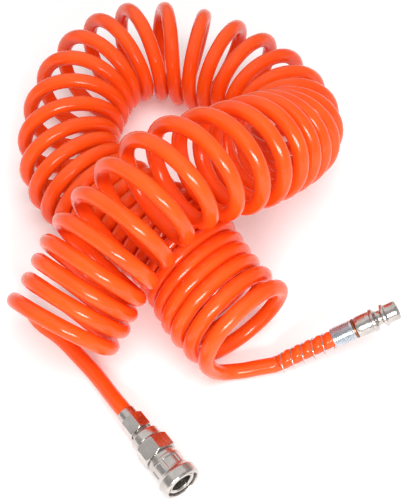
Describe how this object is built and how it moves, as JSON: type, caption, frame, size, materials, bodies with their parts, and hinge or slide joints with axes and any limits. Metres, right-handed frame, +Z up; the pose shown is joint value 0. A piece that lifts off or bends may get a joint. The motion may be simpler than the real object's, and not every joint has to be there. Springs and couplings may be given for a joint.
{
  "type": "coiled air hose",
  "caption": "Coiled polyurethane air hose with a sprung quick-release socket on one end and a plug with a spring guard on the other.",
  "frame": {"origin": "centre of the footprint, on the surface the hose lies on", "axes": "+Z up; the socket points along -Y, along the longest side of the footprint"},
  "size_m": [0.2744, 0.3192, 0.1475],
  "materials": {
    "hose": "gloss",
    "nickel": "polished",
    "zinc": "satin",
    "spring_steel": "polished",
    "copper": "satin",
    "seal_rubber": "matte"
  },
  "bodies": {
    "hose_and_fittings": {"hose_coil": "hose", "hose_lead_socket": "hose", "hose_lead_plug": "hose", "hose_end_socket": "hose", "hose_end_plug": "hose", "hose_nut": "nickel", "tail_adapter": "nickel", "body_o_ring": "seal_rubber", "socket_body": "nickel", "packing_seal": "seal_rubber", "valve_spring": "spring_steel", "sleeve_spring": "spring_steel", "snap_ring": "spring_steel", "spring_guard": "spring_steel", "ribbed_nut": "zinc", "copper_washer": "copper", "plug_body": "nickel"},
    "sleeve": {"sleeve": "nickel"},
    "valve": {"valve": "nickel", "valve_seal": "seal_rubber"},
    "lock_ball_1": {"lock_ball_1": "spring_steel"},
    "lock_ball_2": {"lock_ball_2": "spring_steel"},
    "lock_ball_3": {"lock_ball_3": "spring_steel"},
    "lock_ball_4": {"lock_ball_4": "spring_steel"},
    "lock_ball_5": {"lock_ball_5": "spring_steel"},
    "lock_ball_6": {"lock_ball_6": "spring_steel"}
  },
  "joints": [
    {"name": "sleeve_slide", "type": "slide", "parent": "hose_and_fittings", "child": "sleeve", "axis": [0, 1, 0], "range_m": [0, 0.003], "stiffness_N_per_m": 600, "springref_m": -0.004, "deforming": ["sleeve_spring"]},
    {"name": "valve_slide", "type": "slide", "parent": "hose_and_fittings", "child": "valve", "axis": [0, 1, 0], "range_m": [0, 0.004], "stiffness_N_per_m": 400, "springref_m": -0.004, "deforming": ["valve_spring"]},
    {"name": "ball_1_lift", "type": "slide", "parent": "hose_and_fittings", "child": "lock_ball_1", "axis": [-1, 0, 0], "range_m": [0, 0.0006]},
    {"name": "ball_2_lift", "type": "slide", "parent": "hose_and_fittings", "child": "lock_ball_2", "axis": [-0.5, 0, -0.866], "range_m": [0, 0.0006]},
    {"name": "ball_3_lift", "type": "slide", "parent": "hose_and_fittings", "child": "lock_ball_3", "axis": [0.5, 0, -0.866], "range_m": [0, 0.0006]},
    {"name": "ball_4_lift", "type": "slide", "parent": "hose_and_fittings", "child": "lock_ball_4", "axis": [1, 0, 0], "range_m": [0, 0.0006]},
    {"name": "ball_5_lift", "type": "slide", "parent": "hose_and_fittings", "child": "lock_ball_5", "axis": [0.5, 0, 0.866], "range_m": [0, 0.0006]},
    {"name": "ball_6_lift", "type": "slide", "parent": "hose_and_fittings", "child": "lock_ball_6", "axis": [-0.5, 0, 0.866], "range_m": [0, 0.0006]}
  ],
  "couplings": [
    {"joint": "ball_1_lift", "follows": "sleeve_slide", "ratio": 0.2},
    {"joint": "ball_2_lift", "follows": "sleeve_slide", "ratio": 0.2},
    {"joint": "ball_3_lift", "follows": "sleeve_slide", "ratio": 0.2},
    {"joint": "ball_4_lift", "follows": "sleeve_slide", "ratio": 0.2},
    {"joint": "ball_5_lift", "follows": "sleeve_slide", "ratio": 0.2},
    {"joint": "ball_6_lift", "follows": "sleeve_slide", "ratio": 0.2}
  ]
}
